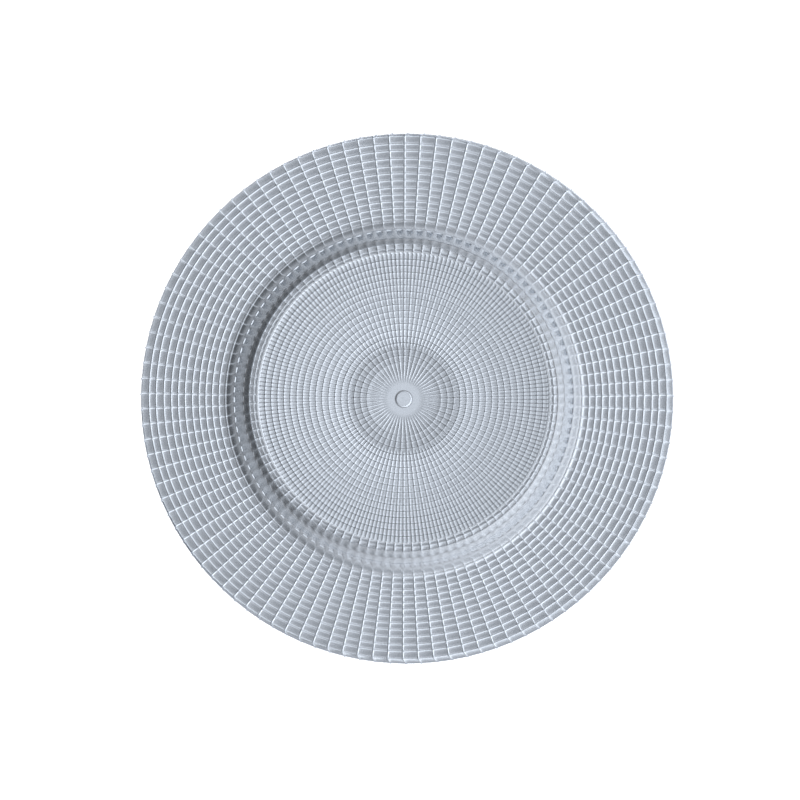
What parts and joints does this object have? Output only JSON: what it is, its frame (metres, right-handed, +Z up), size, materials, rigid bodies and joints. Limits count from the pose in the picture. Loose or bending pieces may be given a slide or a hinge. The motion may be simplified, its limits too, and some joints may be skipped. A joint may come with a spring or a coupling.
{
  "type": "charger plate",
  "caption": "Round pressed-glass charger plate with a wide rim, a flat well and a lattice of fine ribs on its silver-coated underside, for setting under a dinner plate or serving food.",
  "frame": {"origin": "centre of the circle that the plate stands on, at the height of the standing ring's underside", "axes": "+Z up along the plate's axis, out of the well; +X along one of the radial ribs"},
  "size_m": [0.33, 0.3298, 0.022],
  "materials": {
    "glass": "clear soda-lime glass, fire-polished",
    "silver_coat": "satin silver lacquer with fine aluminium flake, sprayed on the glass"
  },
  "bodies": {
    "root": {"glass_plate": "glass", "silver_coat_rim": "silver_coat", "silver_coat_well": "silver_coat"}
  },
  "joints": []
}
